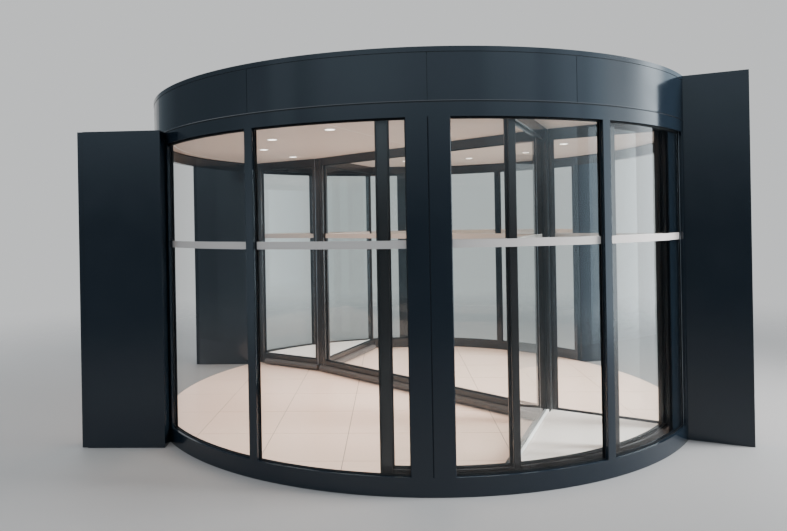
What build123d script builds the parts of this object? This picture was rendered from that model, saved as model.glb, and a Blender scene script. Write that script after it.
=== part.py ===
from build123d import *
import os
from math import asin, cos, degrees, radians, sin, tan

# Large two-wing revolving door. The origin is the turning centre at floor level, +Z is up,
# the interior lies at -X and the open air at +X. All sizes are in millimetres and degrees.

# Fixed drum: overall sizes
drum_radius = 2400.0
wall_depth = 50.0
sill_height = 120.0
clear_height = 2300.0
head_height = 91.0
fascia_height = 302.0
cap_height = 31.0
floor_thickness = 12.0

# Fixed drum: the two curved walls
wall_half_span = 55.0
mullion_offset = 29.0
mullion_width = 67.0
centre_post_width = 274.0
post_seam = 2.0
post_skin = 4.0
end_post_width = 40.0
glass_thickness = 12.0
glass_set_back = 30.0
glass_bite = 12.0
gasket_gap = 2.0
edge_chamfer = 3.0

# Fixed drum: canopy
fascia_skin = 4.0
fascia_flange = 15.0
fascia_gap = 3.0
fascia_joint_angles = (-119.0, -90.0, -66.7)
side_fascia_count = 4
cap_overhang = 2.0
beam_width = 120.0
beam_height = 150.0
beam_leg = 30.0
leg_gap = 5.0
bearing_plate = 420.0

# Side casings beside the drum, placed from the outer corners of its wall
casing_skin = 4.0
inner_casing_length = 585.0
inner_casing_proud = 139.0
inner_casing_lip = 6.0
casing_edge_width = 47.0
casing_edge_step = 12.0
outer_casing_length = 431.0
outer_casing_turn = -23.1
outer_casing_depth = 136.0
outer_casing_foot = 50.0

# Rotor: plan
rotor_angle = -43.4
wing_gap = 40.0
hub_radius = 1409.0
leaf_width = 76.0
nose_angle = -53.7
long_side_angle = -33.3
middle_stile_angle = -13.8
short_side_angle = 5.6
stile_width = 50.0
nose_width = 80.0
hub_core_radius = 43.0
hub_arm = 78.0
hub_groove = 6.0

# Rotor: heights
running_gap = 5.0
brush_height = 6.0
bottom_rail_top = 131.0
top_rail_height = 81.0
ceiling_thickness = 40.0
ceiling_gap = 10.0
ceiling_edge_gap = 8.0
case_floor_thickness = 26.0

# Rotor: bumpers, brushes and lights
bumper_width = 48.0
bumper_top = 81.0
bumper_round = 25.0
bumper_end_gap = 5.0
brush_thickness = 8.0
brush_wall_gap = 7.0
brush_seat = 6.0
brush_inset = 8.0
downlight_radius = 50.0
downlight_sides = 12
downlight_offset = 52.0
downlight_count = 12
downlight_depth = 5.0

# Bearing that carries the rotor
spindle_radius = 70.0
clamp_plate = 190.0
clamp_height = 34.0
bearing_lip = 22.0
bearing_clearance = 0.4
bearing_wall = 30.0
clamp_clearance = 5.0

# Heights and radii that follow
wall_inner = drum_radius - wall_depth
head_top = clear_height + head_height
fascia_top = head_top + fascia_height
total_height = fascia_top + cap_height
glass_outer = drum_radius - glass_set_back
glass_inner = glass_outer - glass_thickness
rotor_radius = wall_inner - wing_gap
rotor_inner = rotor_radius - leaf_width
leaf_mid = rotor_radius - leaf_width / 2
rail_half = leaf_width / 2
rail_low = floor_thickness + running_gap + brush_height
ceiling_low = head_top + ceiling_gap
ceiling_top = ceiling_low + ceiling_thickness
top_rail_low = ceiling_low - top_rail_height
bearing_top = fascia_top - beam_height
lip_top = bearing_top - clamp_height - clamp_clearance
downlight_circle = hub_radius + downlight_offset
wall_start = -90 - wall_half_span
wall_end = -90 + wall_half_span


def polar(radius, angle):
    """Plan point at a radius and an angle in degrees."""
    return (radius * cos(radians(angle)), radius * sin(radians(angle)))


def turn(width, radius):
    """Angle in degrees that a width takes up on a circle."""
    return degrees(2 * asin(width / (2 * radius)))


def sector(inner, outer, start, end, low, high, chamfered=0):
    """Upright slice of a round wall, with its outer corners cut off where a chamfer is given."""
    outer_arc = CenterArc((0, 0), outer, start, end - start)
    inner_arc = CenterArc((0, 0), inner, start, end - start)
    face = make_face([outer_arc, Line(outer_arc @ 1, inner_arc @ 1), inner_arc, Line(outer_arc @ 0, inner_arc @ 0)])
    if chamfered:
        middle = (inner + outer) / 2
        corners = [corner for corner in face.vertices() if Vector(corner.X, corner.Y).length > middle]
        face = chamfer(corners, chamfered)
    return Pos(0, 0, low) * extrude(face, high - low, dir=(0, 0, 1))


def revolved(points, start, end):
    """Round bar whose radial section is given as radius and height pairs."""
    wire = Polyline(*[(radius, 0, height) for radius, height in points], close=True)
    return Rot(0, 0, start) * revolve(make_face(wire), Axis.Z, end - start)


def plan_face(points):
    return make_face(Polyline(*points, close=True))


def upright(face, low, high):
    """Block on a plan face."""
    return Pos(0, 0, low) * extrude(face, high - low, dir=(0, 0, 1))


def far_copy(shape):
    """The far wall repeats the near one across the passage line."""
    return mirror(shape, about=Plane.XZ)


def wall_bays():
    """Start and end angles of the four clear bays of the near wall."""
    end_post = turn(end_post_width, drum_radius)
    half_mullion = turn(mullion_width, drum_radius) / 2
    half_centre = turn(centre_post_width, drum_radius) / 2
    edges = [(-wall_half_span + end_post, -mullion_offset - half_mullion),
             (-mullion_offset + half_mullion, -half_centre),
             (half_centre, mullion_offset - half_mullion),
             (mullion_offset + half_mullion, wall_half_span - end_post)]
    return [(-90 + start, -90 + end) for start, end in edges]


def wall_panes(clearance):
    """Curved panes that stand on the near sill, or the slightly larger rebates that hold their edges."""
    bite = turn(glass_bite + clearance, glass_outer)
    high = clear_height - gasket_gap + clearance
    return [sector(glass_inner - clearance, glass_outer + clearance, start - bite, end + bite,
                   sill_height, high) for start, end in wall_bays()]


def sill():
    """Curved plinth that carries the fixed glass."""
    section = [(wall_inner, 0), (drum_radius, 0), (drum_radius, sill_height), (wall_inner, sill_height)]
    return revolved(section, wall_start, wall_end)


def wall_post(start, end):
    """Upright of the near wall between two angles, hollow if wide, rebated for the glass beside it."""
    body = sector(wall_inner, drum_radius, start, end, sill_height, clear_height, edge_chamfer)
    margin = turn(glass_bite + gasket_gap + post_skin, drum_radius)
    if end - start > 3 * margin:
        body -= sector(wall_inner + post_skin, drum_radius - post_skin, start + margin, end - margin,
                       sill_height, clear_height)
    for rebate in wall_panes(gasket_gap):
        body -= rebate
    return body


def mullions():
    half = turn(mullion_width, drum_radius) / 2
    centres = [-90 - mullion_offset, -90 + mullion_offset]
    return Compound([wall_post(centre - half, centre + half) for centre in centres])


def centre_post():
    """Two half posts that meet with a fine seam."""
    half = turn(centre_post_width, drum_radius) / 2
    seam = turn(post_seam, drum_radius) / 2
    return Compound([wall_post(-90 - half, -90 - seam), wall_post(-90 + seam, -90 + half)])


def end_posts():
    width = turn(end_post_width, drum_radius)
    return Compound([wall_post(wall_start, wall_start + width), wall_post(wall_end - width, wall_end)])


def head_ring():
    """Ring beam over walls and openings."""
    section = [(wall_inner, clear_height), (drum_radius, clear_height), (drum_radius, head_top),
               (wall_inner, head_top)]
    return revolved(section, 0, 360)


def fascia_panel(start, end):
    """Rolled sheet panel with a folded edge at each upright joint."""
    gap = turn(fascia_gap, drum_radius) / 2
    fold = turn(fascia_skin, drum_radius)
    first, last = start + gap, end - gap
    fold_root = drum_radius - fascia_flange
    sheet = sector(drum_radius - fascia_skin, drum_radius, first, last, head_top, fascia_top)
    sheet += sector(fold_root, drum_radius - fascia_skin, first, first + fold, head_top, fascia_top)
    return sheet + sector(fold_root, drum_radius - fascia_skin, last - fold, last, head_top, fascia_top)


def fascia(angles):
    return Compound([fascia_panel(start, end) for start, end in zip(angles, angles[1:])])


def fascia_angles():
    """Joint angles round the canopy, in four runs: near, street side, far and interior side."""
    near = list(fascia_joint_angles)
    far = [-angle for angle in reversed(near)]
    street_step = (far[0] - near[-1]) / side_fascia_count
    street = [near[-1] + street_step * index for index in range(side_fascia_count + 1)]
    inner_step = (near[0] + 360 - far[-1]) / side_fascia_count
    inner = [far[-1] + inner_step * index for index in range(side_fascia_count + 1)]
    return near, street, far, inner


def roof_cap():
    """Round roof panel that closes the canopy and stands a little proud of the fascia."""
    return Pos(0, 0, fascia_top + cap_height / 2) * Cylinder(drum_radius + cap_overhang, cap_height)


def canopy_frame():
    """Crossed beams on four legs that stand on the head ring and carry roof and bearing."""
    leg_outer = drum_radius - fascia_flange - leg_gap
    leg_middle = leg_outer - beam_leg / 2
    beam_middle = fascia_top - beam_height / 2
    frame = Pos(0, 0, beam_middle) * Box(bearing_plate, bearing_plate, beam_height)
    for quarter in range(4):
        beam = Pos(leg_outer / 2, 0, beam_middle) * Box(leg_outer, beam_width, beam_height)
        leg = Pos(leg_middle, 0, (head_top + fascia_top) / 2) * Box(beam_leg, beam_width, fascia_height)
        frame += Rot(0, 0, 90 * quarter) * (beam + leg)
    return frame


def bearing_housing():
    """Fixed block under the beams, with a lip that holds up the clamp plate of the spindle."""
    pocket = clamp_plate * 2 ** 0.5 + 2 * clamp_clearance
    side = pocket + 2 * bearing_wall
    low = lip_top - bearing_lip
    block = Pos(0, 0, (low + bearing_top) / 2) * Box(side, side, bearing_top - low)
    block -= Pos(0, 0, (lip_top + bearing_top) / 2) * Box(pocket, pocket, bearing_top - lip_top)
    return block - Pos(0, 0, (low + lip_top) / 2) * Cylinder(spindle_radius + bearing_clearance, bearing_lip)


def rotor_spindle():
    """Round neck with a square clamp plate on top, by which the rotor hangs in its bearing."""
    plate_low = lip_top + bearing_clearance
    neck = Pos(0, 0, (ceiling_top + plate_low) / 2) * Cylinder(spindle_radius, plate_low - ceiling_top)
    return neck + Pos(0, 0, plate_low + clamp_height / 2) * Box(clamp_plate, clamp_plate, clamp_height)


def canopy_envelope():
    """Space taken by the head ring, the fascia and the roof cap."""
    rim = drum_radius + cap_overhang
    return revolved([(0, clear_height), (drum_radius, clear_height), (drum_radius, fascia_top),
                     (rim, fascia_top), (rim, total_height), (0, total_height)], 0, 360)


def sheet_box(face, high):
    """Sheet-metal casing on a plan face, open at the floor."""
    cavity = offset(face, amount=-casing_skin, kind=Kind.INTERSECTION)
    return upright(face, 0, high) - upright(cavity, 0, high - casing_skin)


def inner_casing():
    """Flat casing between the near wall and the facade on the interior side."""
    corner = polar(drum_radius, wall_start)
    mid_corner = polar(drum_radius - wall_depth / 2, wall_start)
    front = corner[1] - inner_casing_proud
    side = corner[0] - inner_casing_length
    plan = plan_face([(side, front), (corner[0] + inner_casing_lip, front), corner, mid_corner,
                      (side, mid_corner[1])])
    edge_front, edge_back = front + casing_edge_step, mid_corner[1] - casing_edge_step
    tip = side - casing_edge_width
    edge = plan_face([(tip, edge_front), (side, edge_front), (side, edge_back), (tip, edge_back)])
    return sheet_box(plan, head_top) + sheet_box(edge, head_top) - canopy_envelope()


def outer_casing():
    """Taller casing on the street side, turned out a little from the wall."""
    corner = Vector(*polar(drum_radius, wall_end))
    mid_corner = Vector(*polar(drum_radius - wall_depth / 2, wall_end))
    tip = corner + Vector(*polar(outer_casing_length, outer_casing_turn))
    inward = Vector(*polar(1, outer_casing_turn + 90))
    tip_back = tip + inward * outer_casing_depth
    foot_back = mid_corner + inward * outer_casing_foot
    plan = plan_face([(point.X, point.Y) for point in (corner, tip, tip_back, foot_back, mid_corner)])
    return sheet_box(plan, total_height) - canopy_envelope()


def side_casings():
    return Compound([inner_casing(), outer_casing()])


def leaf_block(start, end, half_width, low, high):
    """Straight upright block between two plan points, seen as a wall with a given half width."""
    first, last = Vector(*start), Vector(*end)
    run = (last - first).normalized()
    side = Vector(-run.Y, run.X) * half_width
    corners = [first + side, last + side, last - side, first - side]
    return upright(plan_face([(corner.X, corner.Y) for corner in corners]), low, high)


def shortened(line, start_gap, end_gap):
    """The line between two plan points after a length is taken off each end."""
    first, last = Vector(*line[0]), Vector(*line[1])
    run = (last - first).normalized()
    first = first + run * start_gap
    last = last - run * end_gap
    return (first.X, first.Y), (last.X, last.Y)


hub = (hub_radius, 0.0)
long_end = polar(rotor_inner, long_side_angle)
short_end = polar(rotor_inner, short_side_angle - turn(leaf_width - stile_width, rotor_inner) / 2)
centre_line = shortened(((-hub_radius, 0.0), hub), hub_arm, hub_arm)
long_line = shortened((hub, long_end), hub_arm, 0)
short_line = shortened((hub, short_end), hub_arm, 0)
wing_stiles = ((nose_angle, nose_width), (long_side_angle, stile_width),
               (middle_stile_angle, stile_width), (short_side_angle, stile_width))
brush_angles = (nose_angle - turn(nose_width / 2 - brush_inset, rotor_radius), short_side_angle)


def wing_bays():
    """Start and end angles of the curved glass between the uprights of a wing."""
    spans = []
    for (first, first_width), (last, last_width) in zip(wing_stiles, wing_stiles[1:]):
        spans.append((first + turn(first_width, rotor_radius) / 2, last - turn(last_width, rotor_radius) / 2))
    return spans


def curved_panes(clearance):
    """Curved panes that stand in one wing, or the slightly larger rebates that hold them."""
    half = glass_thickness / 2 + clearance
    bite = glass_bite + clearance
    swing = turn(bite, leaf_mid)
    high = top_rail_low - gasket_gap + clearance
    return [sector(leaf_mid - half, leaf_mid + half, start - swing, end + swing, bottom_rail_top, high)
            for start, end in wing_bays()]


def straight_pane(line, clearance):
    """Pane between two plan points, or the slightly larger rebate that holds it."""
    bite = glass_bite + clearance
    return leaf_block(*shortened(line, -bite, -bite), glass_thickness / 2 + clearance,
                      bottom_rail_top, top_rail_low - gasket_gap + clearance)


def stile_solids():
    """Plain uprights of one wing: the nose, the two panel ends and the middle stile."""
    posts = []
    for angle, width in wing_stiles:
        half = turn(width, rotor_radius) / 2
        posts.append(sector(rotor_inner, rotor_radius, angle - half, angle + half, rail_low, ceiling_low,
                            edge_chamfer))
    return posts


def brush_slot(angle):
    """Upright brush strip at a wing's end, which is also the slot that holds its foot."""
    half = turn(brush_thickness, rotor_radius) / 2
    outer = wall_inner - brush_wall_gap
    return sector(rotor_radius - brush_seat, outer, angle - half, angle + half, rail_low, ceiling_low)


def wing_posts():
    """Uprights of one curved wing with their glass rebates and brush slots."""
    cuts = curved_panes(gasket_gap)
    cuts += [straight_pane(line, gasket_gap) for line in (long_line, short_line)]
    cuts += [brush_slot(angle) for angle in brush_angles]
    posts = []
    for post in stile_solids():
        for cut in cuts:
            post -= cut
        posts.append(post)
    return Compound(posts)


def hub_body():
    """Round core with three short arms, one for each panel that meets there."""
    height = ceiling_low - rail_low
    body = Pos(hub_radius, 0, rail_low + height / 2) * Cylinder(hub_core_radius, height)
    for target in ((0.0, 0.0), long_end, short_end):
        run = (Vector(*target) - Vector(*hub)).normalized()
        tip = Vector(*hub) + run * hub_arm
        body += leaf_block(hub, (tip.X, tip.Y), rail_half, rail_low, ceiling_low)
    return body


def hub_post():
    """Hub with its glass rebates and a groove down each face where an arm leaves the core."""
    body = hub_body()
    for line in (centre_line, long_line, short_line):
        body -= straight_pane(line, gasket_gap)
    for target in ((0.0, 0.0), long_end, short_end):
        run = (Vector(*target) - Vector(*hub)).normalized()
        first = Vector(*hub) + run * hub_core_radius
        last = first + run * hub_groove
        ring = leaf_block((first.X, first.Y), (last.X, last.Y), rail_half + hub_groove, rail_low, ceiling_low)
        web = leaf_block((first.X, first.Y), (last.X, last.Y), rail_half - hub_groove, rail_low, ceiling_low)
        body -= ring - web
    return body


def wing_rails(low, high):
    """Curved rails of one wing, and straight ones that run up to their inner faces."""
    inside = Pos(0, 0, total_height / 2) * Cylinder(rotor_inner, total_height)
    rails = [sector(rotor_inner, rotor_radius, start, end, low, high) for start, end in wing_bays()]
    for line in (long_line, short_line):
        rails.append(leaf_block(*shortened(line, 0, -leaf_width), rail_half, low, high) & inside)
    return Compound(rails)


def case_floor():
    """Raised floor of the glazed case, inside its rails."""
    arc = CenterArc((0, 0), rotor_inner, long_side_angle, short_side_angle - long_side_angle)
    face = make_face([arc, Line(arc @ 1, hub), Line(hub, arc @ 0)])
    body = upright(face, bottom_rail_top - case_floor_thickness, bottom_rail_top)
    for line in (long_line, short_line):
        body -= leaf_block(*shortened(line, 0, -leaf_width), rail_half, rail_low, ceiling_low)
    return body - hub_body()


def corner_cut(first_end, second_end):
    """Where a bumper starts from the hub, and its slant, in the corner between two panels."""
    first, second = Vector(*first_end) - Vector(*hub), Vector(*second_end) - Vector(*hub)
    half = radians(first.get_angle(second) / 2)
    start = max(rail_half / tan(half), (hub_core_radius ** 2 - rail_half ** 2) ** 0.5) + bumper_end_gap
    return start, bumper_width / tan(half)


def bumper(first_end, last_end, side, first_cut, last_cut):
    """Rounded rubber bumper along one side of a bottom rail, with slanted ends."""
    run = (Vector(*last_end) - Vector(*first_end)).normalized()
    normal = Vector(-run.Y, run.X) * side
    first = Vector(*first_end) + run * first_cut[0] + normal * rail_half
    last = Vector(*last_end) - run * last_cut[0] + normal * rail_half
    plane = Plane(origin=(first.X, first.Y, rail_low), x_dir=(normal.X, normal.Y, 0), z_dir=(run.X, run.Y, 0))
    height = (bumper_top - rail_low) * (1 if plane.y_dir.Z > 0 else -1)
    face = plan_face([(0, 0), (bumper_width, 0), (bumper_width, height), (0, height)])
    corners = [vertex for vertex in face.vertices() if vertex.X > bumper_width / 2]
    body = extrude(plane * fillet(corners, bumper_round), (last - first).length, dir=(run.X, run.Y, 0))
    for corner, slant in ((first, run * first_cut[1]), (last, run * -last_cut[1])):
        if slant.length > edge_chamfer:
            outer = corner + normal * bumper_width
            wedge = [corner, outer, outer + slant]
            body -= upright(plan_face([(point.X, point.Y) for point in wedge]), rail_low, bumper_top)
    return body


def centre_bumpers():
    """Bumpers on both sides of the middle part, each between a sharp and a wide corner."""
    sharp, wide = corner_cut((0.0, 0.0), long_end), corner_cut((0.0, 0.0), short_end)
    return Compound([bumper((-hub_radius, 0.0), hub, -1, wide, sharp),
                     bumper((-hub_radius, 0.0), hub, 1, sharp, wide)])


def wing_bumpers():
    """Bumpers on the outer sides of the two straight panels of a wing."""
    at_stile = (bumper_end_gap + bumper_width, 0)
    sharp, wide = corner_cut((0.0, 0.0), long_end), corner_cut((0.0, 0.0), short_end)
    return Compound([bumper(hub, long_end, -1, sharp, at_stile), bumper(hub, short_end, 1, wide, at_stile)])


def brushes():
    """Upright strips at a wing's ends and floor strips under its straight and curved rails."""
    strips = [brush_slot(angle) for angle in brush_angles]
    low, half = rail_low - brush_height, brush_thickness / 2
    strips += [sector(leaf_mid - half, leaf_mid + half, start, end, low, rail_low) for start, end in wing_bays()]
    strips += [leaf_block(*line, half, low, rail_low) for line in (long_line, short_line)]
    strips.append(leaf_block((brush_thickness, 0.0), centre_line[1], half, low, rail_low))
    return Compound(strips)


def rotor_ceiling():
    """Round ceiling panel that turns with the wings."""
    radius = wall_inner - ceiling_edge_gap
    return Pos(0, 0, ceiling_low + ceiling_thickness / 2) * Cylinder(radius, ceiling_thickness)


def downlights():
    """Slim twelve-sided light fittings under the ceiling."""
    step = 360 / downlight_count
    face = RegularPolygon(downlight_radius, downlight_sides)
    places = [polar(downlight_circle, step * (index + 0.5)) for index in range(downlight_count)]
    return Compound([Pos(x, y, ceiling_low) * extrude(face, downlight_depth, dir=(0, 0, -1)) for x, y in places])


def centre_rail(low, high):
    return leaf_block(*centre_line, rail_half, low, high)


def centre_glass():
    """Two panes that meet at the turning centre."""
    pane = straight_pane(centre_line, 0)
    return pane - Pos(0, 0, total_height / 2) * Box(post_seam, leaf_width, total_height)


def at_rest(shape):
    """The rotor stands turned by a fixed angle when the door is at rest."""
    return Rot(0, 0, rotor_angle) * shape


def write(node, shape):
    export_step(shape, f"parts/{node}.step")


def main():
    os.makedirs("parts", exist_ok=True)

    write("floor_disc", Pos(0, 0, floor_thickness / 2) * Cylinder(wall_inner, floor_thickness))
    wall = {"sill": sill(), "end_posts": end_posts(), "centre_post": centre_post(), "mullions": mullions(),
            "glass": Compound(wall_panes(0)), "side_casings": side_casings()}
    for piece, shape in wall.items():
        write(f"near_{piece}", shape)
        write(f"far_{piece}", far_copy(shape))

    write("head_ring", head_ring())
    for name, angles in zip(("near", "street", "far", "interior"), fascia_angles()):
        write(f"{name}_fascia", fascia(angles))
    write("roof_cap", roof_cap())
    write("canopy_frame", canopy_frame())
    write("bearing_housing", bearing_housing())

    write("rotor_spindle", rotor_spindle())
    write("rotor_ceiling", at_rest(rotor_ceiling()))
    write("downlights", at_rest(downlights()))
    write("centre_bottom_rail", at_rest(centre_rail(rail_low, bottom_rail_top)))
    write("centre_top_rail", at_rest(centre_rail(top_rail_low, ceiling_low)))
    write("centre_glass", at_rest(centre_glass()))
    write("centre_bumpers", at_rest(centre_bumpers()))
    write("hub_posts", at_rest(Compound([hub_post(), Rot(0, 0, 180) * hub_post()])))

    wing = {"bottom_rails": wing_rails(rail_low, bottom_rail_top),
            "top_rails": wing_rails(top_rail_low, ceiling_low),
            "posts": wing_posts(), "curved_glass": Compound(curved_panes(0)),
            "side_glass": Compound([straight_pane(line, 0) for line in (long_line, short_line)]),
            "case_floor": case_floor(), "bumpers": wing_bumpers(), "brushes": brushes()}
    for piece, shape in wing.items():
        write(f"near_wing_{piece}", at_rest(shape))
        write(f"far_wing_{piece}", at_rest(Rot(0, 0, 180) * shape))


main()
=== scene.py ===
"""Looks of the revolving door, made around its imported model. All sizes are in metres and degrees."""
import math
import random

import bmesh
import bpy
from mathutils import Matrix, Vector


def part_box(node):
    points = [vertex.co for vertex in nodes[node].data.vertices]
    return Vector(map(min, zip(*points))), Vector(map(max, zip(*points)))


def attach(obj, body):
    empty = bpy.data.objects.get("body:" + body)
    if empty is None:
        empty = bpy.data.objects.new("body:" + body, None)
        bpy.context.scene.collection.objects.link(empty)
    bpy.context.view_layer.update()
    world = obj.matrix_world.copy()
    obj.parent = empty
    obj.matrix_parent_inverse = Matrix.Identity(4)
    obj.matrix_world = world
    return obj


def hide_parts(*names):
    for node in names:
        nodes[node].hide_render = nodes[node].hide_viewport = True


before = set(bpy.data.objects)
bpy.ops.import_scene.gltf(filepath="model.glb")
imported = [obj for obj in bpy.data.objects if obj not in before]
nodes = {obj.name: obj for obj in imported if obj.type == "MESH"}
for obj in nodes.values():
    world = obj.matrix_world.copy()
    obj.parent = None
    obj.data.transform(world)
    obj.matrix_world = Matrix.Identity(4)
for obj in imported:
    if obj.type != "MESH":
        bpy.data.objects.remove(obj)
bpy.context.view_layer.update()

random.seed(7)

# Light passes this many clear faces, because panes stand behind panes
clear_faces = 32
bpy.context.scene.cycles.transparent_max_bounces = clear_faces

# Camera: image size, principal point and focal length are in pixels of the photograph
image_width, image_height = 787, 531
focal_pixels = 645.09
principal_x, principal_y = 363.87, 223.13
camera_place = (-0.2317, -6.3026, 1.6643)
camera_heading = 2.4
camera_roll = -1.014

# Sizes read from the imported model
drum_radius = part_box("head_ring")[1].x
wall_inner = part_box("floor_disc")[1].x
floor_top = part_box("floor_disc")[1].z
sill_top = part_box("near_sill")[1].z
clear_height, head_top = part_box("head_ring")[0].z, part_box("head_ring")[1].z
fascia_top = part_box("near_fascia")[1].z
rail_low, rail_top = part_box("centre_bottom_rail")[0].z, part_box("centre_bottom_rail")[1].z
top_rail_low, ceiling_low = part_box("centre_top_rail")[0].z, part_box("centre_top_rail")[1].z
ceiling_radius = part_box("rotor_ceiling")[1].x

# Driving sizes of the fixed walls, the same as in the model
near_heading = -90.0
wall_half_span = 55.0
mullion_offset = 29.0
mullion_width = 0.067
centre_post_width = 0.274
end_post_width = 0.040
glass_thickness = 0.012
glass_set_back = 0.030
glass_mid = drum_radius - glass_set_back - glass_thickness / 2

# Driving sizes of the rotor, the same as in the model
rotor_angle = -43.4
wing_gap = 0.040
leaf_width = 0.076
hub_radius = 1.409
nose_angle, long_side_angle, middle_stile_angle, short_side_angle = -53.7, -33.3, -13.8, 5.6
stile_width, nose_width = 0.050, 0.080
hub_core_radius, hub_arm, hub_groove = 0.043, 0.078, 0.006
brush_wall_gap, brush_seat, brush_thickness, brush_inset = 0.007, 0.006, 0.008, 0.008
brush_height = 0.006
downlight_circle, downlight_radius, downlight_count = 1.461, 0.050, 12
rotor_radius = wall_inner - wing_gap
rotor_inner = rotor_radius - leaf_width
leaf_mid = rotor_radius - leaf_width / 2

# Trim that only the looks need
# The top gasket is a real black gasket, widened with painted shade for the shadow under the head band
gasket_width, gasket_depth, head_gasket_and_shade_width, gasket_bevel = 0.005, 0.006, 0.010, 0.0015
rotor_gasket_width, rotor_gasket_depth = 0.007, 0.005
lining_width = 0.195
bead_width, bead_height, board_thickness = 0.018, 0.009, 0.003
band_low, band_high = 1.504, 1.554
film_thickness = 0.0004
tile_pitch, tile_joint = 0.595, 0.004
tile_first_y = -0.042
ceiling_joint_angle = 109.1
bristle_pitch, bristle_width = 0.0028, 0.0016
curve_step = 1.5


def turn(width, radius):
    """Angle in degrees that a width takes up on a circle."""
    return math.degrees(2 * math.asin(width / (2 * radius)))


def polar(radius, angle):
    """Plan vector of a length, at an angle in degrees."""
    return Vector((radius * math.cos(math.radians(angle)), radius * math.sin(math.radians(angle)), 0))


class Arc:
    """Plan curve round the turning centre; across is outward."""

    def __init__(self, radius, start, end):
        self.radius, self.start = radius, start
        self.length = radius * math.radians(end - start)

    def point(self, along, across, height):
        angle = self.start + math.degrees(along / self.radius)
        return polar(self.radius + across, angle) + Vector((0, 0, height))

    def steps(self, length):
        """Straight steps that a length of the curve is drawn with."""
        return max(1, math.ceil(math.degrees(length / self.radius) / curve_step))


class Run:
    """Straight plan line; across is to its right."""

    def __init__(self, first, last):
        self.first, self.run = Vector(first), (Vector(last) - Vector(first)).normalized()
        self.length = (Vector(last) - Vector(first)).length
        self.right = Vector((self.run.y, -self.run.x, 0))

    def point(self, along, across, height):
        return self.first + self.run * along + self.right * across + Vector((0, 0, height))

    def steps(self, length):
        """A straight line is one step, whatever its length."""
        return 1


class Piece:
    """Collects closed solids and makes one mesh object of them."""

    def __init__(self):
        self.vertices, self.faces, self.kinds = [], [], []

    def add(self, vertices, faces, kind=0):
        """Adds a solid; its kind is the place of its material in the list that make gets."""
        base = len(self.vertices)
        self.vertices += [Vector(vertex) for vertex in vertices]
        self.faces += [[base + index for index in face] for face in faces]
        self.kinds += [kind] * len(faces)

    def sweep(self, path, section, first=0.0, last=None):
        """Bar along a plan curve; its section is a closed outline of across and height pairs."""
        last = path.length if last is None else last
        steps, count = path.steps(last - first), len(section)
        rings = []
        for step in range(steps + 1):
            along = first + (last - first) * step / steps
            rings += [path.point(along, across, height) for across, height in section]
        faces = [[ring * count + index, ring * count + (index + 1) % count,
                  (ring + 1) * count + (index + 1) % count, (ring + 1) * count + index]
                 for ring in range(steps) for index in range(count)]
        faces += [list(range(count)), [steps * count + index for index in range(count)]]
        self.add(rings, faces)

    def bar(self, path, across, low, high, first=0.0, last=None):
        """Bar with a rectangular section between two offsets and two heights."""
        near, far = across
        self.sweep(path, [(near, low), (far, low), (far, high), (near, high)], first, last)

    def prism(self, outline, low, high, kind=0):
        """Upright block on a plan outline."""
        count = len(outline)
        bottom = [Vector((point[0], point[1], low)) for point in outline]
        top = [Vector((point[0], point[1], high)) for point in outline]
        faces = [[index, (index + 1) % count, count + (index + 1) % count, count + index]
                 for index in range(count)]
        faces += [list(range(count)), list(range(count, 2 * count))]
        self.add(bottom + top, faces, kind)

    def lathe(self, centre, section, sides):
        """Ring round an upright axis; its section is a closed outline of radius and height pairs."""
        count = len(section)
        rings = []
        for side in range(sides):
            around = polar(1, 360 * side / sides)
            rings += [Vector(centre) + around * radius + Vector((0, 0, height))
                      for radius, height in section]
        faces = [[side * count + index, side * count + (index + 1) % count,
                  (side + 1) % sides * count + (index + 1) % count, (side + 1) % sides * count + index]
                 for side in range(sides) for index in range(count)]
        self.add(rings, faces)

    def bristle(self, root, tip, side, width):
        """Three-sided fibre that runs to a point."""
        lean = (tip - root).normalized().cross(side).normalized()
        corners = [root + side * width / 2, root - side * width / 2, root + lean * width]
        self.add(corners + [tip], [[0, 1, 2], [0, 1, 3], [1, 2, 3], [2, 0, 3]])

    def transformed(self, matrix):
        """The same solids moved by a matrix."""
        other = Piece()
        other.add([matrix @ vertex for vertex in self.vertices], self.faces)
        other.kinds = list(self.kinds)
        return other

    def make(self, name, materials, body, slot, replaces=(), smooth_angle=30.0, bevel=0.0):
        """Makes the mesh object, rides it on its body and hides the nodes that it replaces."""
        mesh = bpy.data.meshes.new(name)
        mesh.from_pydata(self.vertices, [], self.faces)
        for material in materials:
            mesh.materials.append(material)
        mesh.polygons.foreach_set("material_index", self.kinds)
        work = bmesh.new()
        work.from_mesh(mesh)
        bmesh.ops.recalc_face_normals(work, faces=work.faces)
        work.to_mesh(mesh)
        work.free()
        made = bpy.data.objects.new(name, mesh)
        bpy.context.scene.collection.objects.link(made)
        if bevel:
            rounding = made.modifiers.new("rounding", "BEVEL")
            rounding.width, rounding.segments, rounding.limit_method = bevel, 2, "ANGLE"
            rounding.angle_limit = math.radians(smooth_angle)
            rounding.harden_normals = True
        mesh.shade_smooth()
        mesh.set_sharp_from_angle(angle=math.radians(smooth_angle))
        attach(made, body)
        if replaces:
            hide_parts(*replaces)


# Places of a piece: as drawn, mirrored to the far side, turned with the rotor, and half way round
unmoved = Matrix.Identity(4)
far_side = Matrix.Scale(-1, 4, (0, 1, 0))
at_rest = Matrix.Rotation(math.radians(rotor_angle), 4, "Z")
half_turn = Matrix.Rotation(math.pi, 4, "Z")
wing_places = (("near", at_rest), ("far", at_rest @ half_turn))


# Materials

def new_material(name):
    """Material with Blender's first nodes, and its nodes and links."""
    made = bpy.data.materials.new(name)
    made.use_nodes = True
    return made, made.node_tree.nodes, made.node_tree.links


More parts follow.
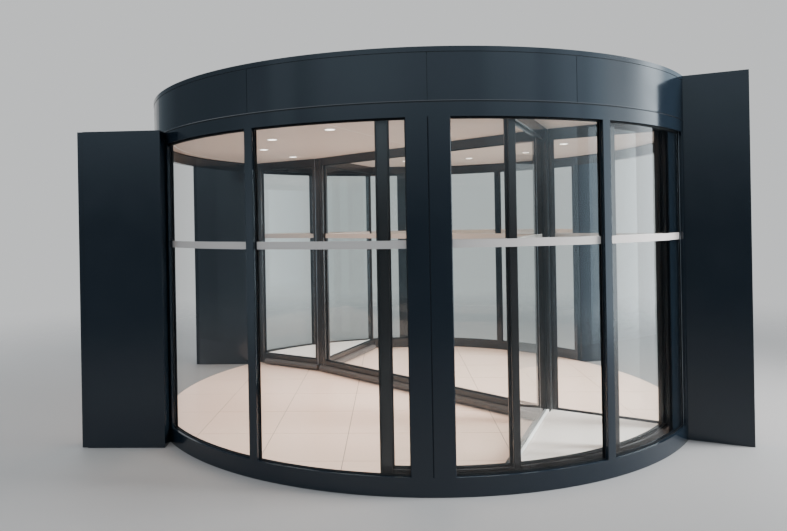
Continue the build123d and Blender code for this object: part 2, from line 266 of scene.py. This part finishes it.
def principled(name, colour, roughness, metallic=0.0, specular=0.5):
    """Plain surface of one colour and gloss."""
    made, parts, _links = new_material(name)
    shader = parts["Principled BSDF"]
    shader.inputs["Base Color"].default_value = (*colour, 1)
    shader.inputs["Roughness"].default_value = roughness
    shader.inputs["Metallic"].default_value = metallic
    shader.inputs["Specular IOR Level"].default_value = specular
    return made


def noise(made, scale, detail, stretch=(1, 1, 1)):
    """Noise in the part's own frame."""
    parts, links = made.node_tree.nodes, made.node_tree.links
    place = parts.new("ShaderNodeTexCoord")
    mapping = parts.new("ShaderNodeMapping")
    mapping.inputs["Scale"].default_value = stretch
    texture = parts.new("ShaderNodeTexNoise")
    texture.inputs["Scale"].default_value = scale
    texture.inputs["Detail"].default_value = detail
    links.new(place.outputs["Object"], mapping.inputs["Vector"])
    links.new(mapping.outputs["Vector"], texture.inputs["Vector"])
    return texture.outputs["Fac"]


def spread(made, value, low, high):
    """Maps the usual values of the noise to a range."""
    noise_low, noise_high = 0.3, 0.7
    parts, links = made.node_tree.nodes, made.node_tree.links
    remap = parts.new("ShaderNodeMapRange")
    remap.inputs["From Min"].default_value, remap.inputs["From Max"].default_value = noise_low, noise_high
    remap.inputs["To Min"].default_value, remap.inputs["To Max"].default_value = low, high
    links.new(value, remap.inputs["Value"])
    return remap.outputs["Result"]


def add_relief(made, value, distance):
    """Bumps of a depth, from noise."""
    parts, links = made.node_tree.nodes, made.node_tree.links
    relief = parts.new("ShaderNodeBump")
    relief.inputs["Distance"].default_value = distance
    links.new(value, relief.inputs["Height"])
    links.new(relief.outputs["Normal"], parts["Principled BSDF"].inputs["Normal"])


def add_tone(made, value, first, second):
    """Base colour that wanders between two colours."""
    parts, links = made.node_tree.nodes, made.node_tree.links
    mix = parts.new("ShaderNodeMix")
    mix.data_type = "RGBA"
    mix.inputs["A"].default_value, mix.inputs["B"].default_value = (*first, 1), (*second, 1)
    links.new(value, mix.inputs["Factor"])
    links.new(mix.outputs["Result"], parts["Principled BSDF"].inputs["Base Color"])


def powder_coat(name, colour, roughness, wave):
    """Glossy coated sheet metal: faint waviness, fine orange peel and uneven gloss."""
    gloss_down, gloss_up, peel = 0.04, 0.07, 0.00001
    gloss_scale, wave_scale, peel_scale = 4.0, 2.2, 320.0
    made = principled(name, colour, roughness, specular=0.42)
    parts, links = made.node_tree.nodes, made.node_tree.links
    gloss = noise(made, gloss_scale, detail=6.0)
    links.new(spread(made, gloss, roughness - gloss_down, roughness + gloss_up),
              parts["Principled BSDF"].inputs["Roughness"])
    broad, fine = parts.new("ShaderNodeBump"), parts.new("ShaderNodeBump")
    broad.inputs["Distance"].default_value, fine.inputs["Distance"].default_value = wave, peel
    links.new(noise(made, wave_scale, detail=1.0), broad.inputs["Height"])
    links.new(noise(made, peel_scale, detail=1.0), fine.inputs["Height"])
    links.new(broad.outputs["Normal"], fine.inputs["Normal"])
    links.new(fine.outputs["Normal"], parts["Principled BSDF"].inputs["Normal"])
    return made


def clear_glass(name, tint, index):
    """Thin architectural glass: light goes straight through, and front faces mirror more at a slant."""
    made, parts, links = new_material(name)
    parts.remove(parts["Principled BSDF"])
    through = parts.new("ShaderNodeBsdfTransparent")
    through.inputs["Color"].default_value = (*tint, 1)
    mirror = parts.new("ShaderNodeBsdfGlossy")
    mirror.inputs["Roughness"].default_value = 0.0
    fresnel = parts.new("ShaderNodeFresnel")
    fresnel.inputs["IOR"].default_value = index
    side = parts.new("ShaderNodeNewGeometry")
    front = parts.new("ShaderNodeMath")
    front.operation = "SUBTRACT"
    front.inputs[0].default_value = 1.0
    amount = parts.new("ShaderNodeMath")
    amount.operation = "MULTIPLY"
    amount.use_clamp = True
    mix = parts.new("ShaderNodeMixShader")
    links.new(side.outputs["Backfacing"], front.inputs[1])
    links.new(front.outputs[0], amount.inputs[0])
    links.new(fresnel.outputs[0], amount.inputs[1])
    links.new(amount.outputs[0], mix.inputs["Fac"])
    links.new(through.outputs[0], mix.inputs[1])
    links.new(mirror.outputs[0], mix.inputs[2])
    links.new(mix.outputs[0], parts["Material Output"].inputs["Surface"])
    return made


def frosted_film(name, colour, roughness, cover):
    """Even matt film; what it doesn't cover lets light straight through."""
    made, parts, links = new_material(name)
    shader = parts["Principled BSDF"]
    shader.inputs["Base Color"].default_value = (*colour, 1)
    shader.inputs["Roughness"].default_value = roughness
    through = parts.new("ShaderNodeBsdfTransparent")
    mix = parts.new("ShaderNodeMixShader")
    mix.inputs["Fac"].default_value = cover
    links.new(through.outputs[0], mix.inputs[1])
    links.new(shader.outputs[0], mix.inputs[2])
    links.new(mix.outputs[0], parts["Material Output"].inputs["Surface"])
    return made


def lamp_lens(name, colour, roughness, strength):
    """Opal lens that glows by itself."""
    made = principled(name, colour, roughness)
    shader = made.node_tree.nodes["Principled BSDF"]
    shader.inputs["Emission Color"].default_value = (*colour, 1)
    shader.inputs["Emission Strength"].default_value = strength
    return made


drum_paint = powder_coat("drum_paint", (0.0058, 0.0094, 0.0142), 0.12, 0.0008)
rotor_paint = powder_coat("rotor_paint", (0.0140, 0.0120, 0.0115), 0.17, 0.0003)
glass = clear_glass("clear_glass", (0.965, 0.975, 0.972), 1.5)
film = frosted_film("frosted_film", (0.46, 0.42, 0.395), 0.6, 0.88)
gasket_rubber = principled("gasket_rubber", (0.0035, 0.0035, 0.004), 0.6, specular=0.3)
bumper_rubber = principled("bumper_rubber", (0.072, 0.062, 0.057), 0.5, specular=0.45)
bristle_fibre = principled("bristle_fibre", (0.008, 0.007, 0.007), 0.7)
tile_ceramic = principled("tile_ceramic", (0.80, 0.595, 0.485), 0.28, specular=0.4)
tile_grout = principled("tile_grout", (0.055, 0.045, 0.038), 0.9)
case_board = principled("case_board", (0.84, 0.765, 0.72), 0.35)
ceiling_paint = principled("ceiling_paint", (0.72, 0.665, 0.615), 0.5)
# Near white: the own colour of the light ceiling joints, and a painted highlight on the wing beads
joint_white_and_painted_highlight = principled("joint_white_and_painted_highlight", (0.97, 0.97, 0.97), 0.3)
trim_aluminium = principled("trim_aluminium", (0.74, 0.75, 0.78), 0.28, metallic=1.0)
lamp_ring = principled("lamp_ring", (0.80, 0.80, 0.79), 0.3)
lens = lamp_lens("lamp_lens", (1.0, 0.95, 0.88), 0.4, 6.0)
bearing_steel = principled("bearing_steel", (0.45, 0.46, 0.48), 0.35, metallic=1.0)

# Tone of a finish: scale and detail of its noise, and the two colours that it wanders between
for finish, scale, detail, first, second in (
        (bumper_rubber, 11.0, 6.0, (0.064, 0.055, 0.050), (0.080, 0.069, 0.063)),
        (tile_ceramic, 1.7, 6.0, (0.785, 0.580, 0.470), (0.825, 0.610, 0.500)),
        (case_board, 2.4, 5.0, (0.825, 0.750, 0.705), (0.855, 0.780, 0.735)),
        (ceiling_paint, 1.3, 5.0, (0.69, 0.615, 0.560), (0.735, 0.66, 0.605)),
        (bristle_fibre, 160.0, 3.0, (0.004, 0.004, 0.004), (0.016, 0.014, 0.013))):
    add_tone(finish, noise(finish, scale, detail), first, second)

# Relief of a finish: scale and detail of its noise, its depth, and how it is stretched
for finish, scale, detail, depth, stretch in (
        (bumper_rubber, 700.0, 3.0, 0.00006, (1, 1, 1)), (tile_ceramic, 120.0, 3.0, 0.00008, (1, 1, 1)),
        (tile_grout, 500.0, 3.0, 0.0004, (1, 1, 1)), (ceiling_paint, 60.0, 3.0, 0.0002, (1, 1, 1)),
        (gasket_rubber, 420.0, 2.0, 0.00004, (1, 1, 1)), (trim_aluminium, 90.0, 4.0, 0.0001, (1, 1, 0.05)),
        (bearing_steel, 60.0, 5.0, 0.0002, (1, 1, 1)), (lamp_ring, 300.0, 2.0, 0.00005, (1, 1, 1))):
    add_relief(finish, noise(finish, scale, detail, stretch), depth)


def material_of(node):
    """Finish of a node of the model that is shown as it is."""
    if "glass" in node:
        return glass
    if "bumper" in node:
        return bumper_rubber
    if "case_floor" in node:
        return case_board
    if node == "rotor_ceiling":
        return ceiling_paint
    if node in ("bearing_housing", "rotor_spindle"):
        return bearing_steel
    if node.startswith(("centre_", "hub_")) or "_wing_" in node:
        return rotor_paint
    return drum_paint


for node, shape in nodes.items():
    shape.data.materials.clear()
    shape.data.materials.append(material_of(node))


# Fixed walls and canopy

def wall_bays():
    """Paths along the middle of the four panes of the near wall, from edge to edge of their openings."""
    end_post = turn(end_post_width, drum_radius)
    half_mullion = turn(mullion_width, drum_radius) / 2
    half_centre = turn(centre_post_width, drum_radius) / 2
    edges = [(-wall_half_span + end_post, -mullion_offset - half_mullion),
             (-mullion_offset + half_mullion, -half_centre),
             (half_centre, mullion_offset - half_mullion),
             (mullion_offset + half_mullion, wall_half_span - end_post)]
    return [Arc(glass_mid, near_heading + start, near_heading + end) for start, end in edges]


def gasket_frame(piece, path, low, high, width, depth, top_width):
    """Strips round both sides of a pane, pressed against its glass."""
    half = glass_thickness / 2
    for across in ((half, half + depth), (-half - depth, -half)):
        piece.bar(path, across, low, low + width)
        piece.bar(path, across, high - top_width, high)
        piece.bar(path, across, low + width, high - top_width, 0, width)
        piece.bar(path, across, low + width, high - top_width, path.length - width, path.length)


def add_walls():
    """Gaskets and frosted bands of both glass walls."""
    gaskets, bands = Piece(), Piece()
    for path in wall_bays():
        gasket_frame(gaskets, path, sill_top, clear_height, gasket_width, gasket_depth, head_gasket_and_shade_width)
        outer = glass_thickness / 2
        bands.bar(path, (outer, outer + film_thickness), band_low, band_high, gasket_width,
                  path.length - gasket_width)
    for side, matrix in (("near", unmoved), ("far", far_side)):
        gaskets.transformed(matrix).make(f"{side}_wall_gaskets", [gasket_rubber], "drum",
                                         slot="bumper_rubber", bevel=gasket_bevel)
        bands.transformed(matrix).make(f"{side}_wall_frosted_bands", [film], "drum", slot="clear_glass")


def add_wall_details():
    """Lining and bright bead at one end of each wall, and the filled seam of each centre post."""
    lining, bead, seams = Piece(), Piece(), Piece()
    skin_gap, bead_thickness = 0.0004, 0.0012
    half_seam, inner_step, outer_step = 0.00095, 0.006, 0.0015
    end = near_heading + wall_half_span - turn(end_post_width, drum_radius)
    start = end - turn(lining_width, wall_inner)
    inner, outer = wall_inner + skin_gap, drum_radius - glass_set_back - glass_thickness - skin_gap
    lining.bar(Arc(inner, start, end), (0, outer - inner), sill_top, clear_height)
    face = drum_radius - glass_set_back + gasket_depth
    bead.bar(Arc(face, end - turn(gasket_width, face), end), (0, bead_thickness), sill_top, clear_height)
    seam = Run((0, -wall_inner - inner_step, 0), (0, -drum_radius + outer_step, 0))
    seams.bar(seam, (-half_seam, half_seam), sill_top, clear_height)
    for side, turned, mirrored in (("near", unmoved, unmoved), ("far", half_turn, far_side)):
        lining.transformed(turned).make(f"{side}_post_lining", [drum_paint], "drum", slot="drum_paint")
        bead.transformed(turned).make(f"{side}_post_bead", [trim_aluminium], "drum", slot="bearing_steel")
        seams.transformed(mirrored).make(f"{side}_post_seam", [gasket_rubber], "drum", slot="bumper_rubber")


def add_seams():
    """Near-black strips painted as the shade in the seams under the fascia and the roof cap, and the folded
    lip over the lower one.
    """
    painted_shade_strips, lips = Piece(), Piece()
    proud, sunk, below, above, sides = 0.0006, 0.001, 0.003, 0.002, 288
    # Painted shade: a near-black strip in each seam, a little proud of the drum, stands in for the seam's
    # shade
    for low, high in ((head_top - below, head_top + above), (fascia_top - below, fascia_top)):
        section = [(drum_radius - sunk, low), (drum_radius + proud, low), (drum_radius + proud, high),
                   (drum_radius - sunk, high)]
        painted_shade_strips.lathe((0, 0, 0), section, sides)
    lip = [(-sunk, 0), (0.0016, 0.0005), (0.0018, 0.003), (0.0008, 0.006), (-sunk, 0.0075)]
    lips.lathe((0, 0, 0), [(drum_radius + out, head_top + above + up) for out, up in lip], sides)
    painted_shade_strips.make("canopy_painted_shade_strips", [gasket_rubber], "drum", slot="bumper_rubber")
    lips.make("fascia_lip", [drum_paint], "drum", slot="drum_paint", smooth_angle=60.0)


# Floor

def clipped(outline, normal, limit):
    """Part of a convex plan outline where the product with the normal is below a limit."""
    kept = []
    for index, point in enumerate(outline):
        before = outline[index - 1]
        here, there = point.dot(normal) - limit, before.dot(normal) - limit
        if (here < 0) != (there < 0):
            kept.append(before.lerp(point, there / (there - here)))
        if here < 0:
            kept.append(point)
    return kept


def add_floor():
    """Tiles cut to the round floor, on a grout bed."""
    sides, edge_gap, bed_gap, bed_depth = 240, 0.004, 0.0005, 0.002
    rim = [polar(wall_inner - edge_gap, 360 * side / sides).to_2d() for side in range(sides)]
    bed = [polar(wall_inner - bed_gap, 360 * side / sides) for side in range(sides)]
    floor = Piece()
    floor.prism(bed, 0, floor_top - bed_depth, kind=1)
    reach = math.ceil(wall_inner / tile_pitch) + 1
    half = (tile_pitch - tile_joint) / 2
    for column in range(-reach, reach):
        for row in range(-reach, reach):
            middle = Vector(((column + 0.5) * tile_pitch, (row + 0.5) * tile_pitch + tile_first_y))
            outline = rim
            for normal in (Vector((1, 0)), Vector((-1, 0)), Vector((0, 1)), Vector((0, -1))):
                outline = clipped(outline, normal, middle.dot(normal) + half)
            if len(outline) > 2:
                floor.prism(outline, floor_top - bed_depth, floor_top)
    floor.make("floor_tiles", [tile_ceramic, tile_grout], "drum", replaces=["floor_disc"],
               slot="floor_tile")


# Rotor

hub = Vector((hub_radius, 0, 0))
long_end = polar(rotor_inner, long_side_angle)
short_end = polar(rotor_inner, short_side_angle - turn(leaf_width - stile_width, rotor_inner) / 2)
stiles = ((nose_angle, nose_width), (long_side_angle, stile_width), (middle_stile_angle, stile_width),
          (short_side_angle, stile_width))


def trimmed(first, last, first_gap, last_gap):
    """Straight path between two points, shortened at its ends."""
    run = (last - first).normalized()
    return Run(first + run * first_gap, last - run * last_gap)


def wing_paths():
    """Plan paths of the panes of one wing: three curved ones and the two straight sides."""
    stile_gap = 0.001
    paths = []
    for (first, first_width), (last, last_width) in zip(stiles, stiles[1:]):
        paths.append(Arc(leaf_mid, first + turn(first_width, rotor_radius) / 2,
                         last - turn(last_width, rotor_radius) / 2))
    paths += [trimmed(hub, end, hub_arm, stile_gap) for end in (long_end, short_end)]
    return paths


def pane_trim(gaskets, bands, path):
    """Gaskets and frosted band of one pane of the rotor."""
    gasket_frame(gaskets, path, rail_top, top_rail_low, rotor_gasket_width, rotor_gasket_depth,
                 rotor_gasket_width)
    outer = glass_thickness / 2
    bands.bar(path, (outer, outer + film_thickness), band_low, band_high, rotor_gasket_width,
              path.length - rotor_gasket_width)


def add_rotor_trim():
    """Gaskets and frosted bands of the wings and the middle part."""
    wing_gaskets, wing_bands, centre_gaskets, centre_bands = Piece(), Piece(), Piece(), Piece()
    for path in wing_paths():
        pane_trim(wing_gaskets, wing_bands, path)
    pane_trim(centre_gaskets, centre_bands, trimmed(-hub, hub, hub_arm, hub_arm))
    centre_gaskets.transformed(at_rest).make("centre_gaskets", [gasket_rubber], "rotor",
                                             slot="bumper_rubber")
    centre_bands.transformed(at_rest).make("centre_frosted_band", [film], "rotor", slot="clear_glass")
    for side, matrix in wing_places:
        wing_gaskets.transformed(matrix).make(f"{side}_wing_gaskets", [gasket_rubber], "rotor",
                                              slot="bumper_rubber")
        wing_bands.transformed(matrix).make(f"{side}_wing_frosted_bands", [film], "rotor",
                                            slot="clear_glass")


def add_side_trim():
    """Case boards up to the glass, beads at its foot painted near white as a painted highlight, and
    aluminium strips in the hub grooves.
    """
    boards, painted_highlight_beads, strips = Piece(), Piece(), Piece()
    pane_gap, stile_gap, bead_slope = 0.0003, 0.030, 0.006
    path = trimmed(hub, long_end, hub_arm, stile_gap)
    near = -glass_thickness / 2 - pane_gap
    far, outer = near - bead_width, -leaf_width / 2
    inner_start, inner_end, outer_start, outer_end = 0.02, 0.03, 0.06, 0.045
    board = [(inner_start, far), (path.length - inner_end, far), (path.length - outer_end, outer),
             (outer_start, outer)]
    boards.prism([path.point(along, across, 0).to_2d() for along, across in board], rail_top,
                 rail_top + board_thickness)
    top = rail_top + bead_height
    # Painted highlight: a real bead, painted near white to stand in for the highlight along it
    painted_highlight_beads.sweep(path, [(near, rail_top), (far, rail_top), (far, rail_top + bead_height / 2),
                       (far + bead_slope, top), (near, top)])
    core_gap, strip_depth, strip_gap = 0.0005, 0.0025, 0.001
    for target in (Vector((0, 0, 0)), long_end, short_end):
        path = trimmed(hub, target, hub_core_radius + core_gap, 0)
        for across in ((leaf_width / 2 - hub_groove, leaf_width / 2 - strip_depth),
                       (strip_depth - leaf_width / 2, hub_groove - leaf_width / 2)):
            strips.bar(path, across, rail_low, ceiling_low, 0, hub_groove - strip_gap)
    for side, matrix in wing_places:
        boards.transformed(matrix).make(f"{side}_case_edge_board", [case_board], "rotor",
                                        slot="case_board")
        painted_highlight_beads.transformed(matrix).make(f"{side}_wing_painted_highlight_bead", [joint_white_and_painted_highlight], "rotor", slot="light_lens")
        strips.transformed(matrix).make(f"{side}_hub_strips", [trim_aluminium], "rotor",
                                        slot="bearing_steel")


def add_wall_brushes(brush):
    """Upright brushes at the two ends of a wing, which sweep the wall."""
    half, reach, root = brush_thickness / 2, wall_inner - brush_wall_gap, rotor_radius - brush_seat
    skin_gap, end_gap, holder_reach, core_reach, core_thinness = 0.0005, 0.001, 0.004, 0.55, 3
    rows = (-0.6, 0.0, 0.6)
    margin, jitter, shortest, longest, side_lean, height_lean = 0.006, 0.6, 0.80, 0.97, 0.0016, 0.004
    low, high = rail_low + end_gap, ceiling_low - end_gap
    for angle in (nose_angle - turn(nose_width / 2 - brush_inset, rotor_radius), short_side_angle):
        outward = polar(1, angle)
        side = Vector((-outward.y, outward.x, 0))
        base = Run(outward * root, outward * reach)
        brush.bar(base, (-half + skin_gap, half - skin_gap), low, high, 0, brush_seat + holder_reach)
        brush.bar(base, (-half / core_thinness, half / core_thinness), low, high, 0,
                  (reach - root) * core_reach)
        count = int((ceiling_low - rail_low - 2 * margin) / bristle_pitch)
        for index in range(count):
            for row in rows:
                height = rail_low + margin + (index + random.random() * jitter) * bristle_pitch
                start = outward * (root + brush_seat) + side * (row * half) + Vector((0, 0, height))
                length = (reach - root - brush_seat) * random.uniform(shortest, longest)
                lean = side * random.uniform(-side_lean, side_lean)
                lean += Vector((0, 0, random.uniform(-height_lean, height_lean)))
                brush.bristle(start, start + outward * length + lean, side, bristle_width)


def add_floor_brushes(brush):
    """Brushes under the rails of a wing and its half of the middle part, which sweep the floor."""
    half, low = brush_thickness / 2, rail_low - brush_height
    skin_gap, end_gap, holder_depth, root_depth = 0.0005, 0.001, 0.0025, 0.002
    margin, jitter, wider_pitch, rows = 0.003, 0.6, 1.4, (-0.55, 0.55)
    side_lean, least_splay, most_splay, tip_rise = 0.001, 0.5, 1.4, 0.0012
    for path in wing_paths() + [trimmed(Vector((0, 0, 0)), hub, brush_thickness, hub_arm)]:
        brush.bar(path, (-half + skin_gap, half - skin_gap), rail_low - holder_depth, rail_low, end_gap,
                  path.length - end_gap)
        count = int((path.length - 2 * margin) / (wider_pitch * bristle_pitch))
        for index in range(count):
            for row in rows:
                along = margin + (index + random.random() * jitter) * wider_pitch * bristle_pitch
                start = path.point(along, row * half, rail_low - root_depth)
                tip = path.point(along + random.uniform(-side_lean, side_lean),
                                 row * half * random.uniform(least_splay, most_splay),
                                 low + random.uniform(0.0, tip_rise))
                brush.bristle(start, tip, Vector((1, 0, 0)), bristle_width)


def add_bristles():
    """Brushes of each wing, fibre by fibre on solid strips."""
    brush = Piece()
    add_wall_brushes(brush)
    add_floor_brushes(brush)
    for side, matrix in wing_places:
        brush.transformed(matrix).make(f"{side}_wing_bristles", [bristle_fibre], "rotor",
                                       replaces=[f"{side}_wing_brushes"], slot="brush_pile",
                                       smooth_angle=20.0)


def add_ceiling_trim():
    """The joint across the rotor ceiling, its trim circle and the downlights."""
    joints, lamps = Piece(), Piece()
    depth, joint_width, joint_inset, circle_inset = 0.0006, 0.005, 0.10, 0.095
    circle_sides, lamp_sides = 240, 40
    low = ceiling_low - depth
    outward = polar(1, ceiling_joint_angle)
    joints.bar(Run(outward * -(ceiling_radius - joint_inset), outward * (ceiling_radius - joint_inset)),
               (-joint_width / 2, joint_width / 2), low, ceiling_low)
    circle, foot, crown = ceiling_radius - circle_inset, 0.008, 0.006
    joints.lathe((0, 0, 0), [(circle - foot, ceiling_low), (circle - crown, low), (circle + crown, low),
                             (circle + foot, ceiling_low)], circle_sides)
    rim_gap, lens_gap, lens_drop = 0.002, 0.0105, 0.0025
    rim = downlight_radius - rim_gap
    ring = [(-0.010, 0), (-0.010, -0.0035), (-0.007, -0.0048), (-0.002, -0.0035), (0, 0)]
    for index in range(downlight_count):
        place = polar(downlight_circle, 360 / downlight_count * (index + 0.5))
        lamps.lathe(place, [(rim + out, ceiling_low + up) for out, up in ring], lamp_sides)
        face = [place + polar(rim - lens_gap, 360 * side / lamp_sides) for side in range(lamp_sides)]
        lamps.prism(face, ceiling_low - lens_drop, ceiling_low, kind=1)
    joints.transformed(at_rest).make("ceiling_joints", [joint_white_and_painted_highlight], "rotor", slot="ceiling_paint")
    lamps.transformed(at_rest).make("downlight_fittings", [lamp_ring, lens], "rotor",
                                    replaces=["downlights"], slot="light_lens")


# Camera, lights and stage

def add_camera():
    """Camera at the photograph's place, with its principal point kept by the shift."""
    data = bpy.data.cameras.new("camera")
    data.sensor_width = 36
    data.lens = data.sensor_width * focal_pixels / image_width
    data.shift_x = (image_width / 2 - principal_x) / image_width
    data.shift_y = (principal_y - image_height / 2) / image_width
    camera = bpy.data.objects.new("camera", data)
    bpy.context.scene.collection.objects.link(camera)
    heading = Matrix.Rotation(math.radians(camera_heading), 4, "Z")
    level = Matrix.Rotation(math.radians(90), 4, "X")
    roll = Matrix.Rotation(math.radians(camera_roll), 4, "Z")
    camera.matrix_world = Matrix.Translation(camera_place) @ heading @ level @ roll
    bpy.context.scene.camera = camera


# Brightness of the surround by azimuth: pale behind the object, dim behind the camera, bright at the right
lower_surround = [(-180, 0.06), (-166, 0.09), (-158, 0.20), (-150, 0.09), (-135, 0.05), (-100, 0.035),
                  (-60, 0.035), (-40, 0.06), (-28, 0.20), (-18, 0.40), (-8, 0.55), (4, 0.80),
                  (14, 0.95), (19, 0.60), (23, 0.14), (40, 0.12), (60, 0.125), (124, 0.125),
                  (134, 0.04), (155, 0.03), (180, 0.05)]
upper_surround = [(-180, 0.06), (-165, 0.08), (-151, 0.11), (-148, 0.17), (-140, 0.18), (-137, 0.13),
                  (-124, 0.21), (-105, 0.22), (-86, 0.18), (-66, 0.18), (-62, 0.24), (-46, 0.27),
                  (-43, 0.19), (-28, 0.34), (-25, 0.24), (-18, 0.38), (-9, 0.42), (-4, 0.36),
                  (4, 0.55), (9, 0.95), (14, 1.0), (19, 0.75), (23, 0.26), (40, 0.16), (60, 0.125),
                  (124, 0.125), (134, 0.04), (155, 0.03), (180, 0.06)]
upper_start, upper_end = -0.02, 0.24
overhead_start, overhead_end = 0.34, 0.60
overhead_colour = (0.34, 0.355, 0.37)
surround_strength = 6.0


def surround_tint(angle):
    """Tint of the surround: near white behind the object, cool at the right, cooler elsewhere."""
    if 45 < angle < 130:
        return (0.97, 0.99, 1.0)
    if -10 < angle < 20:
        return (0.88, 1.0, 1.08)
    return (0.79, 0.99, 1.15)


def surround_ramp(parts, links, share, stops):
    """Colour of the surround round the horizon, from its stops."""
    ramp = parts.new("ShaderNodeValToRGB")
    band = ramp.color_ramp
    while len(band.elements) < len(stops):
        band.elements.new(0.5)
    for element, (angle, value) in zip(band.elements, stops):
        element.position = (angle + 180) / 360
        element.color = (*[value * part for part in surround_tint(angle)], 1)
    links.new(share, ramp.inputs[0])
    return ramp.outputs[0]


def rising_share(parts, links, height, start, end):
    """Smooth step from 0 to 1 as the direction rises."""
    step = parts.new("ShaderNodeMapRange")
    step.interpolation_type = "SMOOTHSTEP"
    step.inputs["From Min"].default_value, step.inputs["From Max"].default_value = start, end
    links.new(height, step.inputs["Value"])
    return step.outputs["Result"]


def add_world():
    """Studio surround, with the lower and upper colours blended by height and an even light overhead."""
    world = bpy.data.worlds.new("studio")
    bpy.context.scene.world = world
    world.use_nodes = True
    parts, links = world.node_tree.nodes, world.node_tree.links
    place, split = parts.new("ShaderNodeTexCoord"), parts.new("ShaderNodeSeparateXYZ")
    links.new(place.outputs["Generated"], split.inputs[0])
    azimuth, rounds, share = (parts.new("ShaderNodeMath") for _ in range(3))
    azimuth.operation, rounds.operation, share.operation = "ARCTAN2", "DIVIDE", "ADD"
    rounds.inputs[1].default_value, share.inputs[1].default_value = 2 * math.pi, 0.5
    links.new(split.outputs["Y"], azimuth.inputs[0])
    links.new(split.outputs["X"], azimuth.inputs[1])
    links.new(azimuth.outputs[0], rounds.inputs[0])
    links.new(rounds.outputs[0], share.inputs[0])
    walls, roof = parts.new("ShaderNodeMix"), parts.new("ShaderNodeMix")
    walls.data_type = roof.data_type = "RGBA"
    links.new(rising_share(parts, links, split.outputs["Z"], upper_start, upper_end),
              walls.inputs["Factor"])
    links.new(surround_ramp(parts, links, share.outputs[0], lower_surround), walls.inputs["A"])
    links.new(surround_ramp(parts, links, share.outputs[0], upper_surround), walls.inputs["B"])
    roof.inputs["B"].default_value = (*overhead_colour, 1)
    links.new(rising_share(parts, links, split.outputs["Z"], overhead_start, overhead_end),
              roof.inputs["Factor"])
    links.new(walls.outputs["Result"], roof.inputs["A"])
    links.new(roof.outputs["Result"], parts["Background"].inputs["Color"])
    parts["Background"].inputs["Strength"].default_value = surround_strength


def add_area_light(name, place, target, size, power, colour, opening=180):
    """Soft light at a place, aimed at a target, that no camera or mirror sees."""
    data = bpy.data.lights.new(name, "AREA")
    data.shape, data.size, data.size_y = "RECTANGLE", size[0], size[1]
    data.energy, data.color, data.spread = power, colour, math.radians(opening)
    light = bpy.data.objects.new(name, data)
    bpy.context.scene.collection.objects.link(light)
    light.location = place
    light.rotation_euler = (Vector(target) - Vector(place)).to_track_quat("-Z", "Y").to_euler()
    light.visible_camera = False
    light.visible_glossy = False


def stage_material():
    """Even floor that fades into the surround away from the object."""
    fade_start, fade_end = 3.6, 10.0
    made = principled("stage_floor", (0.20, 0.197, 0.194), 0.6)
    parts, links = made.node_tree.nodes, made.node_tree.links
    place, length, fade = (parts.new("ShaderNodeTexCoord"), parts.new("ShaderNodeVectorMath"),
                           parts.new("ShaderNodeMapRange"))
    through, mix = parts.new("ShaderNodeBsdfTransparent"), parts.new("ShaderNodeMixShader")
    length.operation, fade.interpolation_type = "LENGTH", "SMOOTHSTEP"
    fade.inputs["From Min"].default_value, fade.inputs["From Max"].default_value = fade_start, fade_end
    links.new(place.outputs["Object"], length.inputs[0])
    links.new(length.outputs["Value"], fade.inputs["Value"])
    links.new(fade.outputs["Result"], mix.inputs["Fac"])
    links.new(parts["Principled BSDF"].outputs[0], mix.inputs[1])
    links.new(through.outputs[0], mix.inputs[2])
    links.new(mix.outputs[0], parts["Material Output"].inputs["Surface"])
    return made


def add_stage():
    """Floor of the studio and its lights: two inside the drum and one outside at the right."""
    reach, floor_drop = 12, 0.001
    mesh = bpy.data.meshes.new("stage_floor")
    mesh.from_pydata([(-reach, -reach, 0), (reach, -reach, 0), (reach, reach, 0), (-reach, reach, 0)], [],
                     [(0, 1, 2, 3)])
    mesh.materials.append(stage_material())
    floor = bpy.data.objects.new("stage_floor", mesh)
    floor.location.z = -floor_drop
    bpy.context.scene.collection.objects.link(floor)
    inner_size, box_size = (3.4, 3.4), (3, 4)
    add_area_light("downlight_glow", (0, 0, 2.28), (0, 0, 0), inner_size, 140, (1.0, 0.77, 0.63))
    add_area_light("ceiling_glow", (0, 0, 0.16), (0, 0, 2.4), inner_size, 4, (1.0, 0.90, 0.83))
    add_area_light("softbox_right", (8, -2, 4.5), (0.8, -0.5, 0.2), box_size, 420, (0.96, 0.98, 1.0),
                   opening=60)


add_camera()
add_walls()
add_floor()
add_rotor_trim()
add_wall_details()
add_seams()
add_side_trim()
add_bristles()
add_ceiling_trim()
add_world()
add_stage()
